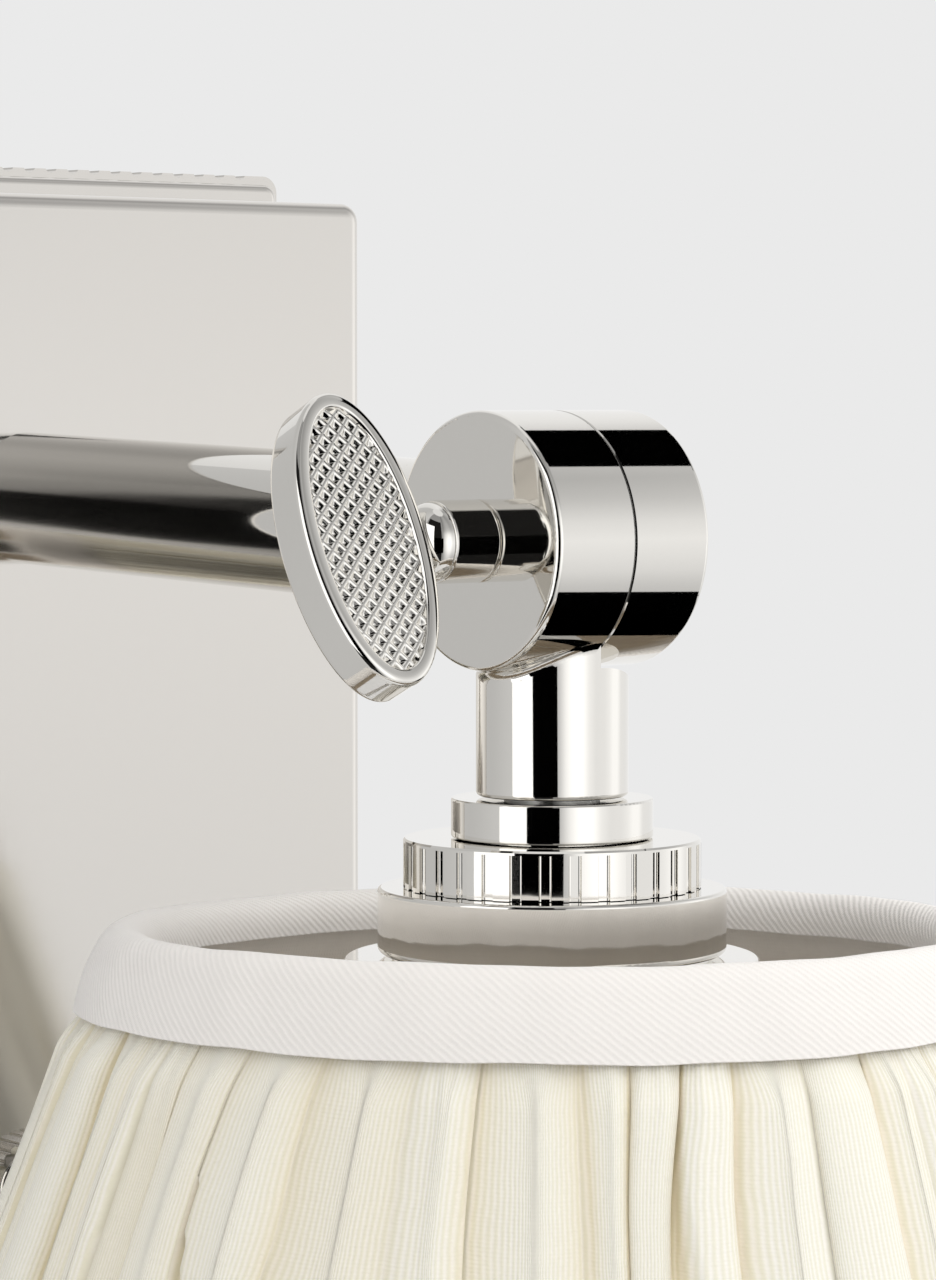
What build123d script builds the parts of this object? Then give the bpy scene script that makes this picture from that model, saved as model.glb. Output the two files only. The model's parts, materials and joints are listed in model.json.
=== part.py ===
"""Pharmacy wall lamp: a stepped wall plate, a straight arm, a two-part swivel
joint clamped by an oval thumb key, and a gathered fabric shade on a lamp head.

The frame is the wall plate's: the origin is the centre of its back face, +Z is
up, and the lamp reaches out from the wall along -Y. Millimetres throughout.
"""
import os
from math import cos, radians, sin, tan

from build123d import *

os.makedirs("parts", exist_ok=True)

# ---------------------------------------------------------------- dimensions
# Wall plate: a reeded rear plate with a box cover in front of it.
rear_width = 111.0
rear_height = 167.0
rear_layer = 3.0            # reeded layer against the wall
rear_step = 2.0             # plain layer in front of it
rear_step_in = 1.2          # how far the plain layer is set back at its edges
rear_thick = rear_layer + rear_step
flute_pitch = 3.3
flute_r = 0.9
box_width = 102.0
box_height = 158.0
box_depth = 23.0
box_wall = 2.0
box_edge_r = 1.8
window_width = 80.0         # opening through the rear plate
front_y = -(rear_thick + box_depth)
inner_y = front_y + box_wall
inner_height = box_height - 2 * box_wall
inner_width = box_width - 2 * box_wall

# Arm and swivel joint. The joint's axis runs along X.
arm_r = 8.0
arm_bore_r = 6.5
arm_z = 39.5                # height of the joint axis above the plate's centre
arm_droop = 1.7             # degrees that the arm slopes down from the wall to the joint
arm_low = 0.5               # how far its centre line passes under the joint axis
reach = 100.0               # plate front to joint axis
joint_y = front_y - reach
joint_r = 13.45
joint_half = 10.2           # half the joint's length along X
seam = 0.16                 # gap between the two halves, filled by the washer
seam_bevel = 0.12           # bevel on each half's rim at the seam
stub_len = 21.0             # joint axis to the end of the arm's solid end
swing_gap = 0.55            # radial room around the turning half
neck_gap = 1.9              # radial room between the arm half and the neck's shoulder
wire_r = 3.5
chamber_r = 8.4             # ring-shaped wire chamber inside each half
chamber_depth = 5.0
boss_r = 4.6
nipple_r = 5.0              # M10 hollow threaded nipple
nipple_bore = 3.5
running = 0.05              # radial clearance of turning fits

# Clamp screw and thumb key
screw_r = 3.0               # M6
key_x = -25.9               # centre of the oval grip
key_long = 16.0             # half lengths of the oval
key_short = 7.65
key_thick = 5.4
key_lean = 22.5             # degrees that the oval's top leans to the wall
key_rim = 1.6
key_recess = 0.8
key_shaft_len = 5.9
key_shaft_r = 4.3
key_dome_r = 4.1            # low dome between the shaft and the grip
key_dome_rise = 2.8

# Head stack, heights measured from the joint axis
neck_end = -26.8
collar_top = -27.0
collar_end = -31.1
collar_r = 10.6
collar_spigot_r = 8.9
ring_top = -31.2
ring_end = -36.33
ring_r = 15.6
ring_slot_count = 32
cap_top = -36.4
cap_end = -43.3
cap_r = 18.3
cap_wall = 2.6
cap_step_r = 16.8
cap_step_end = -43.7
flange_r = 21.8
flange_end = -45.0
socket_r = 17.4
socket_sleeve_r = 16.6
socket_shoulder = -57.5
socket_end = -77.0
socket_wall = 4.0
shell_r = 13.6
shell_wall = 0.4
lamp_cap_r = 13.0
bulb_r = 22.5
bulb_end = -122.0

# Shade, a straight cone: radii belong to the cover's outer surface
shade_top = -39.2
shade_end = -127.2
shade_top_r = 45.6
shade_slope = 0.407         # growth of the radius per unit of height
tape_height = 9.4
tape_thick = 0.6
cover_thick = 1.4
wire_offset = 2.4           # cover's outside to the frame wires' centre line
ring_wire_r = 0.9
strut_r = 0.85
strut_count = 6
lining_offset = 3.4
lining_thick = 0.5
fitter_r = 21.5
fitter_thick = 1.5

# Switch under the arm, on the plate's centre line; height from the plate's centre
switch_z = -42.8
knob_r = 4.6

# Wall strap and fasteners
strap_width = 24.0
strap_thick = 1.8
strap_ear = 20.0
slot_spacing = 83.0
slot_length = 12.0
slot_width = 5.0
ground_x = 6.5
ground_z = 20.0
cover_screw_y = -13.0
cover_screw_r = 2.0
plate_screw_r = 1.75
plate_screw_x = 45.0
plate_screw_z = 70.0


# ------------------------------------------------------------ planes and axes
def across(x):
    """Upright plane facing +X, with its origin on the joint axis at x."""
    return Plane(origin=(x, joint_y, arm_z), x_dir=(0, 1, 0), z_dir=(1, 0, 0))


def along_arm(distance):
    """Plane across the sloping arm, facing the wall, at a distance from the joint."""
    slope = radians(arm_droop)
    origin = (0, joint_y + distance * cos(slope), arm_z - arm_low + distance * sin(slope))
    return Plane(origin=origin, x_dir=(1, 0, 0), z_dir=(0, cos(slope), sin(slope)))


def level(height):
    """Level plane at a height measured from the joint axis."""
    return Plane(origin=(0, joint_y, arm_z + height), x_dir=(1, 0, 0), z_dir=(0, 0, 1))


def facing(y, z=0.0):
    """Upright plane facing the room (-Y) at depth y, its origin at height z."""
    return Plane(origin=(0, y, z), x_dir=(1, 0, 0), z_dir=(0, -1, 0))


arm_root_z = arm_z - arm_low + reach * tan(radians(arm_droop))
head_section = facing(joint_y, arm_z)
head_axis = Axis((0, joint_y, arm_z), (0, 0, 1))


def save(part, name):
    """Label a finished piece and write its STEP file."""
    part.label = name
    export_step(part, f"parts/{name}.step")


def cover_radius(height):
    """Radius of the shade cover's outer surface at a height."""
    return shade_top_r + shade_slope * (shade_top - height)


# ================================================================ wall plate
# Wall strap: a flat bar on the junction box with two ears bent forward.
ear_z = inner_height / 2 - 0.4
with BuildPart() as wall_strap:
    with BuildSketch(facing(0)):
        Rectangle(strap_width, 2 * ear_z)
        with Locations((0, -ground_z)):
            Circle(5.5, mode=Mode.SUBTRACT)
        with Locations((0, slot_spacing / 2), (0, -slot_spacing / 2)):
            SlotOverall(slot_length, slot_width, rotation=90, mode=Mode.SUBTRACT)
        with Locations((ground_x, ground_z)):
            Circle(cover_screw_r + running, mode=Mode.SUBTRACT)
    extrude(amount=strap_thick)
    for side in (1, -1):
        with BuildSketch(facing(0, side * (ear_z - strap_thick / 2))):
            Rectangle(strap_width, strap_thick)
        extrude(amount=strap_ear)
    with BuildSketch(Plane.XY.offset(-ear_z)):
        with Locations((0, cover_screw_y)):
            Circle(cover_screw_r + running)
    extrude(amount=2 * ear_z, mode=Mode.SUBTRACT)
save(wall_strap.part, "wall_strap")

# Ground screw: a slotted pan-head screw in the strap.
with BuildPart() as ground_screw:
    with BuildSketch(facing(-strap_thick)):
        with Locations((ground_x, ground_z)):
            Circle(3.8)
    extrude(amount=2.2)
    chamfer(ground_screw.edges().filter_by(GeomType.CIRCLE).sort_by(Axis.Y)[0], 0.6)
    with BuildSketch(facing(-strap_thick - 1.3)):
        with Locations((ground_x, ground_z)):
            Rectangle(7.8, 0.9)
    extrude(amount=2, mode=Mode.SUBTRACT)
    with BuildSketch(facing(0)):
        with Locations((ground_x, ground_z)):
            Circle(cover_screw_r)
    extrude(amount=strap_thick)
save(ground_screw.part, "ground_screw")

# Rear plate: a frame whose back layer has a reeded (coin) edge.
with BuildPart() as rear_plate:
    with BuildSketch(facing(0)):
        RectangleRounded(rear_width, rear_height, 2.2)
        across_count = 2 * round((rear_width / 2 - 6) / flute_pitch) + 1
        up_count = 2 * round((rear_height / 2 - 6) / flute_pitch) + 1
        flute_in = flute_r * 0.4
        with GridLocations(flute_pitch, rear_height + 2 * flute_in, across_count, 2):
            Circle(flute_r, mode=Mode.SUBTRACT)
        with GridLocations(rear_width + 2 * flute_in, flute_pitch, 2, up_count):
            Circle(flute_r, mode=Mode.SUBTRACT)
    extrude(amount=rear_layer)
    with BuildSketch(facing(-rear_layer)):
        RectangleRounded(rear_width - 2 * rear_step_in, rear_height - 2 * rear_step_in, 1.8)
    extrude(amount=rear_step)
    fillet(rear_plate.faces().sort_by(Axis.Y)[0].outer_wire().edges(), 1.0)
    with BuildSketch(facing(0)):
        RectangleRounded(window_width, inner_height, 3)
    extrude(amount=rear_thick, mode=Mode.SUBTRACT)
    with Locations(Plane.XZ.rotated((180, 0, 0))):
        with GridLocations(2 * plate_screw_x, 2 * plate_screw_z, 2, 2):
            CounterSinkHole(plate_screw_r + running, 3.6, depth=rear_thick)
save(rear_plate.part, "rear_plate")

# Front box: the polished cover, open at the back, with four corner bosses.
with BuildPart() as front_box:
    with BuildSketch(facing(-rear_thick)):
        RectangleRounded(box_width, box_height, 2.4)
    extrude(amount=box_depth)
    fillet(front_box.faces().sort_by(Axis.Y)[0].outer_wire().edges(), box_edge_r)
    with BuildSketch(facing(-rear_thick)):
        RectangleRounded(inner_width, inner_height, 1.2)
    extrude(amount=box_depth - box_wall, mode=Mode.SUBTRACT)
    with BuildSketch(facing(-rear_thick)):
        with GridLocations(2 * plate_screw_x, 2 * plate_screw_z, 2, 2):
            Circle(3.6)
    extrude(amount=box_depth - box_wall)
    with BuildSketch(facing(-rear_thick)):
        with GridLocations(2 * plate_screw_x, 2 * plate_screw_z, 2, 2):
            Circle(plate_screw_r + running)
    extrude(amount=12, mode=Mode.SUBTRACT)
    with BuildSketch(facing(inner_y)):
        with Locations((0, arm_root_z), (0, switch_z)):
            Circle(nipple_r + running)
    extrude(amount=box_wall, mode=Mode.SUBTRACT)
    with BuildSketch(Plane.XY.offset(-box_height / 2)):
        with Locations((0, cover_screw_y)):
            Circle(cover_screw_r + 0.2)
    extrude(amount=box_height, mode=Mode.SUBTRACT)
save(front_box.part, "front_box")

# Four countersunk screws hold the rear plate to the bosses.
with BuildPart() as rear_plate_screws:
    with BuildSketch(facing(-1.65)):
        with GridLocations(2 * plate_screw_x, 2 * plate_screw_z, 2, 2):
            Circle(plate_screw_r)
    extrude(amount=13)
    with BuildSketch(facing(-0.3)):
        with GridLocations(2 * plate_screw_x, 2 * plate_screw_z, 2, 2):
            Circle(3.1)
    extrude(amount=1.35, taper=45)
    with BuildSketch(facing(0)):
        with GridLocations(2 * plate_screw_x, 2 * plate_screw_z, 2, 2):
            Rectangle(3.4, 0.9)
            Rectangle(0.9, 3.4)
    extrude(amount=1.2, mode=Mode.SUBTRACT)
save(rear_plate_screws.part, "rear_plate_screws")

# Two button-head screws fix the box to the strap's ears, above and below.
with BuildPart() as cover_screws:
    for side in (1, -1):
        head_plane = Plane(origin=(0, cover_screw_y, side * box_height / 2), z_dir=(0, 0, side))
        with BuildSketch(head_plane):
            Circle(3.6)
        extrude(amount=2.0)
        with BuildSketch(head_plane.offset(0.8)):
            RegularPolygon(1.25, 6, major_radius=False)
        extrude(amount=2, mode=Mode.SUBTRACT)
        with BuildSketch(head_plane):
            Circle(cover_screw_r)
        extrude(amount=-6)
    rims = cover_screws.edges().filter_by(GeomType.CIRCLE)
    outer_rims = [e for e in rims if abs(e.center().Z) > box_height / 2 + 1.9]
    fillet(outer_rims, 1.1)
save(cover_screws.part, "cover_screws")

# ================================================================= arm
# Arm tube: its wall end is closed, cut to the plate and threaded for the nipple.
arm_plug = 6.0
with BuildPart() as arm_tube:
    with BuildSketch(along_arm(stub_len)):
        Circle(arm_r)
    extrude(amount=reach - stub_len + 2)
    with BuildSketch(along_arm(stub_len)):
        Circle(arm_bore_r)
    extrude(amount=reach - stub_len - arm_plug - 1, mode=Mode.SUBTRACT)
    with BuildSketch(facing(front_y, arm_root_z)):
        Circle(2 * arm_r)
    extrude(amount=-arm_plug, mode=Mode.SUBTRACT)
    with BuildSketch(facing(front_y, arm_root_z)):
        Circle(nipple_r + 0.02)
    extrude(amount=arm_plug + 2, mode=Mode.SUBTRACT)
save(arm_tube.part, "arm_tube")

# Hollow nipple, stiffening plate, toothed washer and hexagon nut behind the front wall
stiff_thick = 2.0
washer_thick = 1.0
nut_thick = 4.5
with BuildPart() as arm_nipple:
    with BuildSketch(facing(inner_y + stiff_thick + washer_thick + nut_thick + 1.5, arm_root_z)):
        Circle(nipple_r)
        Circle(nipple_bore, mode=Mode.SUBTRACT)
    extrude(amount=box_wall + stiff_thick + washer_thick + nut_thick + 1.5 + arm_plug - 0.5)
save(arm_nipple.part, "arm_nipple")

with BuildPart() as stiffening_plate:
    with BuildSketch(facing(inner_y + stiff_thick, arm_root_z)):
        RectangleRounded(60, 36, 4)
        Circle(nipple_r + running, mode=Mode.SUBTRACT)
    extrude(amount=stiff_thick)
save(stiffening_plate.part, "stiffening_plate")

with BuildPart() as arm_washer:
    with BuildSketch(facing(inner_y + stiff_thick + washer_thick, arm_root_z)):
        Circle(9)
        with PolarLocations(9, 12):
            Rectangle(2.6, 1.6, mode=Mode.SUBTRACT)
        Circle(nipple_r + running, mode=Mode.SUBTRACT)
    extrude(amount=washer_thick)
save(arm_washer.part, "arm_washer")

with BuildPart() as arm_nut:
    with BuildSketch(facing(inner_y + stiff_thick + washer_thick + nut_thick, arm_root_z)):
        RegularPolygon(7, 6, major_radius=False)
        Circle(nipple_r + 0.02, mode=Mode.SUBTRACT)
    extrude(amount=nut_thick)
save(arm_nut.part, "arm_nut")

# ================================================================= swivel joint
def half_outline(side):
    """Outline of one half of the joint, for revolving about its axis; side is 1 or -1 along X."""
    return (
        (side * seam / 2, 0),
        (side * seam / 2, joint_r - seam_bevel),
        (side * (seam / 2 + seam_bevel), joint_r),
        (side * joint_half, joint_r),
        (side * joint_half, 0),
    )


joint_section = Plane(origin=(0, joint_y, arm_z), x_dir=(1, 0, 0), z_dir=(0, -1, 0))
joint_axis = Axis((0, joint_y, arm_z), (1, 0, 0))


# Arm half: the +X half of the joint with the arm's solid end and spigot.
stop_pin_radius = 11.0
stop_pin_angle = 135.0      # degrees from +Y towards +Z
stop_pin_r = 1.0
pin_y = stop_pin_radius * cos(radians(stop_pin_angle))
pin_z = stop_pin_radius * sin(radians(stop_pin_angle))
with BuildPart() as arm_knuckle:
    with BuildSketch(along_arm(4)):
        Circle(arm_r)
    extrude(amount=stub_len - 4)
    with BuildSketch(across(seam / 2)):
        Circle(joint_r + swing_gap)
    extrude(amount=-2 * arm_r, mode=Mode.SUBTRACT)
    with BuildSketch(joint_section):
        Polygon(*half_outline(1), align=None)
    revolve(axis=joint_axis)
    fillet(arm_knuckle.faces().sort_by(Axis.X)[-1].outer_wire().edges(), 0.7)
    with BuildSketch(along_arm(stub_len)):
        Circle(arm_bore_r - 0.02)
    extrude(amount=11)
    with BuildSketch(Plane(origin=(3.6, joint_y, arm_z), x_dir=(1, 0, 0), z_dir=(0, 1, 0))):
        Circle(2.4)
    extrude(amount=joint_r + 2, mode=Mode.SUBTRACT)
    with BuildSketch(along_arm(15.5)):
        Circle(wire_r)
    extrude(amount=stub_len, mode=Mode.SUBTRACT)
    with BuildSketch(across(seam / 2)):
        Circle(chamber_r)
        Circle(boss_r, mode=Mode.SUBTRACT)
    extrude(amount=chamber_depth, mode=Mode.SUBTRACT)
    with BuildSketch(across(seam / 2)):
        Circle(screw_r + running)
    extrude(amount=7.6, mode=Mode.SUBTRACT)
    with BuildSketch(across(seam / 2)):
        with Locations((pin_y, pin_z)):
            Circle(stop_pin_r + 0.02)
    extrude(amount=4, mode=Mode.SUBTRACT)
save(arm_knuckle.part, "arm_knuckle")

# Stop pin: stands out of the arm half into the head half's curved slot.
with BuildPart() as stop_pin:
    with BuildSketch(across(-2.4)):
        with Locations((pin_y, pin_z)):
            Circle(stop_pin_r)
    extrude(amount=seam / 2 + 2.4 + 3.8)
save(stop_pin.part, "stop_pin")

# Sprung steel washer that fills the seam up to the bevelled rims
with BuildPart() as friction_washer:
    with BuildSketch(across(-seam / 2 + 0.01)):
        Circle(joint_r - seam_bevel - 0.08)
        Circle(chamber_r + 0.2, mode=Mode.SUBTRACT)
        with Locations((pin_y, pin_z)):
            Circle(stop_pin_r + 0.1, mode=Mode.SUBTRACT)
    extrude(amount=seam - 0.02)
save(friction_washer.part, "friction_washer")

# Head half: the -X half of the joint with the neck.
tilt_min = -90.0
tilt_max = 4.0
slot_start = stop_pin_angle - tilt_max - 8
slot_sweep = tilt_max - tilt_min + 16
with BuildPart() as head_knuckle:
    with BuildSketch(level(-4)):
        Circle(arm_r)
    extrude(amount=neck_end + 4)
    fillet(head_knuckle.faces().sort_by(Axis.Z)[0].outer_wire().edges(), 0.5)
    with BuildSketch(across(-seam / 2)):
        Circle(joint_r + neck_gap)
    extrude(amount=2 * arm_r, mode=Mode.SUBTRACT)
    with BuildSketch(joint_section):
        Polygon(*half_outline(-1), align=None)
    revolve(axis=joint_axis)
    fillet(head_knuckle.faces().sort_by(Axis.X)[0].outer_wire().edges(), 0.7)
    low_edges = [e for e in head_knuckle.edges() if e.center().Z < arm_z - arm_r]
    left_edges = [e for e in low_edges if e.bounding_box().max.X < -seam_bevel]
    fillet([e for e in left_edges if e.bounding_box().size.Y > arm_r], 1.5)
    with BuildSketch(level(neck_end)):
        Circle(nipple_r + 0.02)
    extrude(amount=9.3, mode=Mode.SUBTRACT)
    with BuildSketch(Plane(origin=(-3.6, joint_y, arm_z), z_dir=(0, 0, -1))):
        Circle(2.4)
    extrude(amount=19, mode=Mode.SUBTRACT)
    with BuildSketch(across(-seam / 2)):
        Circle(chamber_r)
        Circle(boss_r, mode=Mode.SUBTRACT)
    extrude(amount=-chamber_depth, mode=Mode.SUBTRACT)
    with BuildSketch(across(-joint_half)):
        Circle(screw_r + running)
    extrude(amount=joint_half, mode=Mode.SUBTRACT)
    with BuildSketch(across(-seam / 2)):
        with BuildLine():
            slot_line = CenterArc((0, 0), stop_pin_radius, slot_start, slot_sweep)
        SlotArc(slot_line, 2 * stop_pin_r + 0.8)
    extrude(amount=-3, mode=Mode.SUBTRACT)
save(head_knuckle.part, "head_knuckle")

# Clamp screw: its end is fixed in the key, its thread runs in the arm half.
screw_in_key = 4.0
screw_start = -joint_half - screw_in_key
with BuildPart() as clamp_screw:
    with BuildSketch(across(screw_start)):
        Circle(screw_r)
    extrude(amount=7.4 + seam / 2 - screw_start)
    chamfer(clamp_screw.edges().sort_by(Axis.X)[-1], 0.6)
save(clamp_screw.part, "clamp_screw")

# Thumb key: a plain shaft with a domed end and a flat oval grip dished on both sides.
key_shaft_bevel = 0.3
key_dome_x = -joint_half - key_shaft_len
key_plane = Plane(
    origin=(key_x, joint_y, arm_z),
    x_dir=(1, 0, 0),
    z_dir=(0, -cos(radians(key_lean)), sin(radians(key_lean))),
)
with BuildPart() as thumb_key:
    with BuildSketch(key_plane.offset(-key_thick / 2)):
        Ellipse(key_short, key_long)
    extrude(amount=key_thick)
    fillet(thumb_key.edges(), 0.9)
    for side in (1, -1):
        with BuildSketch(key_plane.offset(side * key_thick / 2)):
            Ellipse(key_short - key_rim, key_long - key_rim)
        extrude(amount=-side * key_recess, mode=Mode.SUBTRACT)
    with BuildSketch(joint_section):
        with BuildLine():
            Polyline(
                (key_dome_x - key_dome_rise, 0),
                (-joint_half, 0),
                (-joint_half, key_shaft_r - key_shaft_bevel),
                (-joint_half - key_shaft_bevel, key_shaft_r),
                (key_dome_x, key_shaft_r),
                (key_dome_x, key_dome_r),
            )
            ThreePointArc(
                (key_dome_x, key_dome_r),
                (key_dome_x - 0.75 * key_dome_rise, key_dome_r / 2),
                (key_dome_x - key_dome_rise, 0),
            )
        make_face()
    revolve(axis=joint_axis)
    with BuildSketch(across(-joint_half)):
        Circle(screw_r + 0.01)
    extrude(amount=-(screw_in_key + 0.1), mode=Mode.SUBTRACT)
save(thumb_key.part, "thumb_key")

# ================================================================= head stack
# Neck collar: a plain ring whose spigot is the reeded ring's bearing.
with BuildPart() as neck_collar:
    with BuildSketch(level(collar_end)):
        Circle(collar_r)
    extrude(amount=collar_top - collar_end)
    fillet(neck_collar.edges(), 0.25)
    with BuildSketch(level(collar_end)):
        Circle(collar_spigot_r)
    extrude(amount=cap_top - collar_end)
    with BuildSketch(level(collar_top)):
        Circle(nipple_r + 0.02)
    extrude(amount=cap_top - collar_top, mode=Mode.SUBTRACT)
save(neck_collar.part, "neck_collar")

# Reeded ring: shallow flat-bottomed slots, open below and square at the top.
ring_slot_width = 1.3
ring_slot_depth = 0.5
ring_slot_out = 0.3         # slot tools are centred this far outside the ring
ring_slot_round = 0.25
ring_slot_turn = 2.9        # degrees
ring_slot_top = ring_top - 0.45
with BuildPart() as reeded_ring:
    with BuildSketch(level(ring_end)):
        Circle(ring_r)
    extrude(amount=ring_top - ring_end)
    chamfer(reeded_ring.edges().sort_by(Axis.Z)[-1], 0.2)
    with BuildSketch(level(ring_end)):
        with PolarLocations(ring_r + ring_slot_out, ring_slot_count, start_angle=ring_slot_turn):
            RectangleRounded(2 * (ring_slot_depth + ring_slot_out), ring_slot_width, ring_slot_round)
    extrude(amount=ring_slot_top - ring_end, mode=Mode.SUBTRACT)
    with BuildSketch(level(ring_end)):
        Circle(collar_spigot_r + running)
    extrude(amount=ring_top - ring_end, mode=Mode.SUBTRACT)
save(reeded_ring.part, "reeded_ring")

# Socket cap: a shallow straight-sided cup with a rounded lower edge and a small step.
with BuildPart() as socket_cap:
    with BuildSketch(level(cap_end)):
        Circle(cap_r)
    extrude(amount=cap_top - cap_end)
    fillet(socket_cap.edges().sort_by(Axis.Z)[0], 0.8)
    fillet(socket_cap.edges().sort_by(Axis.Z)[-1], 0.4)
    with BuildSketch(level(cap_end)):
        Circle(cap_step_r)
    extrude(amount=cap_step_end - cap_end)
    with BuildSketch(level(cap_step_end)):
        Circle(lamp_cap_r + 0.1)
    extrude(amount=cap_top - cap_wall - cap_step_end, mode=Mode.SUBTRACT)
    with BuildSketch(level(cap_top)):
        Circle(nipple_r + 0.02)
    extrude(amount=-cap_wall, mode=Mode.SUBTRACT)
save(socket_cap.part, "socket_cap")

# Gallery flange: a flat spun disc under the cap.
with BuildPart() as gallery_flange:
    with BuildSketch(level(flange_end)):
        Circle(flange_r)
    extrude(amount=cap_step_end - flange_end)
    fillet(gallery_flange.edges(), 0.5)
    with BuildSketch(level(flange_end)):
        Circle(lamp_cap_r + 0.1)
    extrude(amount=cap_step_end - flange_end, mode=Mode.SUBTRACT)
save(gallery_flange.part, "gallery_flange")

# Socket body: a stepped insulator with a threaded sleeve for the fitter nut.
plug_top = cap_top - cap_wall
plug_floor = plug_top - socket_wall
cavity_top = -49.5
with BuildPart() as socket_body:
    with BuildSketch(head_section):
        with BuildLine():
            Polyline(
                (0, plug_top),
                (lamp_cap_r, plug_top),
                (lamp_cap_r, flange_end),
                (socket_r, flange_end),
                (socket_r, socket_shoulder),
                (socket_sleeve_r, socket_shoulder),
                (socket_sleeve_r, socket_end),
                (shell_r + running, socket_end),
                (shell_r + running, cavity_top),
                (9, cavity_top),
                (9, plug_floor),
                (0, plug_floor),
                close=True,
            )
        make_face()
    revolve(axis=head_axis)
    with BuildSketch(level(plug_top)):
        Circle(nipple_r + 0.02)
    extrude(amount=-socket_wall, mode=Mode.SUBTRACT)
save(socket_body.part, "socket_body")

# Head nipple and its nut clamp the whole stack under the neck.
head_nut_thick = 4.0
with BuildPart() as head_nipple:
    with BuildSketch(level(neck_end + 9.0)):
        Circle(nipple_r)
        Circle(nipple_bore, mode=Mode.SUBTRACT)
    extrude(amount=plug_floor - head_nut_thick - 0.8 - neck_end - 9.0)
save(head_nipple.part, "head_nipple")

with BuildPart() as head_nut:
    with BuildSketch(level(plug_floor)):
        RegularPolygon(7, 6, major_radius=False)
        Circle(nipple_r + 0.02, mode=Mode.SUBTRACT)
    extrude(amount=-head_nut_thick)
save(head_nut.part, "head_nut")

# Screw shell: a thin metal thimble with a rolled round thread.
thread_pitch = 3.6
shell_top = cavity_top - 2.5
shell_turns = 6
shell_end = shell_top - shell_turns * thread_pitch
with BuildPart() as screw_shell:
    with BuildSketch(level(shell_end)):
        Circle(shell_r)
        Circle(shell_r - shell_wall, mode=Mode.SUBTRACT)
    extrude(amount=shell_top - shell_end)
save(screw_shell.part, "screw_shell")

# Centre contact: a sprung leaf on a round insulating seat.
with BuildPart() as centre_contact:
    with BuildSketch(level(cavity_top)):
        Circle(shell_r - 0.1)
        Circle(9.2, mode=Mode.SUBTRACT)
    extrude(amount=-0.6)
    with BuildSketch(level(cavity_top)):
        Rectangle(20, 5)
    extrude(amount=-0.6)
save(centre_contact.part, "centre_contact")

# Bulb: a screw cap and a frosted pear of glass.
bulb_cap_top = cavity_top - 0.7
bulb_cap_end = shell_end - 1.0
bulb_neck_r = 11.8
bulb_centre = bulb_end + bulb_r
with BuildPart() as bulb_cap:
    with BuildSketch(head_section):
        with BuildLine():
            Polyline(
                (0, bulb_cap_top),
                (4.5, bulb_cap_top),
                (lamp_cap_r - 0.4, bulb_cap_top - 3.2),
                (lamp_cap_r - 0.4, bulb_cap_end),
                (0, bulb_cap_end),
                close=True,
            )
        make_face()
    revolve(axis=head_axis)
save(bulb_cap.part, "bulb_cap")


def bulb_point(angle):
    """Point of the bulb's round outline at an angle above its equator."""
    return (bulb_r * cos(radians(angle)), bulb_centre + bulb_r * sin(radians(angle)))


with BuildPart() as bulb_glass:
    with BuildSketch(head_section):
        with BuildLine():
            neck_line = Line((0, bulb_cap_end), (bulb_neck_r, bulb_cap_end))
            flank = Line(neck_line @ 1, (bulb_neck_r, bulb_cap_end - 3))
            swell = TangentArc(flank @ 1, bulb_point(42), tangent=(0, -1))
            ThreePointArc(swell @ 1, bulb_point(-20), (0, bulb_end))
            Line((0, bulb_end), (0, bulb_cap_end))
        make_face()
    revolve(axis=head_axis)
save(bulb_glass.part, "bulb_glass")

# ================================================================= shade frame
fitter_end = socket_shoulder - fitter_thick
with BuildPart() as fitter_ring:
    with BuildSketch(level(fitter_end)):
        Circle(fitter_r)
        Circle(socket_sleeve_r + 0.1, mode=Mode.SUBTRACT)
    extrude(amount=fitter_thick)
save(fitter_ring.part, "fitter_ring")

with BuildPart() as fitter_nut:
    with BuildSketch(level(fitter_end)):
        Circle(19.0)
        with PolarLocations(19.0, 24):
            Circle(0.6, mode=Mode.SUBTRACT)
        Circle(socket_sleeve_r + 0.05, mode=Mode.SUBTRACT)
    extrude(amount=-5)
save(fitter_nut.part, "fitter_nut")

# Three spokes carry the fitter ring from alternate frame struts.
spoke_r = 1.3
spoke_z = fitter_end - spoke_r
spoke_start = 19.3
spoke_end = cover_radius(spoke_z) - wire_offset - strut_r - 0.7
spoke_turns = (30, 150, 270)


def spoke_plane(turn):
    """Plane across one spoke, with its origin where the spoke starts."""
    out = Vector(cos(radians(turn)), sin(radians(turn)), 0)
    return Plane(origin=Vector(0, joint_y, arm_z + spoke_z) + out * spoke_start, z_dir=out)


with BuildPart() as fitter_spokes:
    for turn in spoke_turns:
        with BuildSketch(spoke_plane(turn)):
            Circle(spoke_r)
        extrude(amount=spoke_end - spoke_start)
save(fitter_spokes.part, "fitter_spokes")

top_wire_z = shade_top - tape_thick - ring_wire_r - 0.2
end_wire_z = shade_end + tape_thick + ring_wire_r + 0.2
with BuildPart() as frame_top_ring:
    with BuildSketch(head_section):
        with Locations((cover_radius(top_wire_z) - wire_offset, top_wire_z)):
            Circle(ring_wire_r)
    revolve(axis=head_axis)
save(frame_top_ring.part, "frame_top_ring")

with BuildPart() as frame_end_ring:
    with BuildSketch(head_section):
        with Locations((cover_radius(end_wire_z) - wire_offset, end_wire_z)):
            Circle(ring_wire_r)
    revolve(axis=head_axis)
save(frame_end_ring.part, "frame_end_ring")

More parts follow.
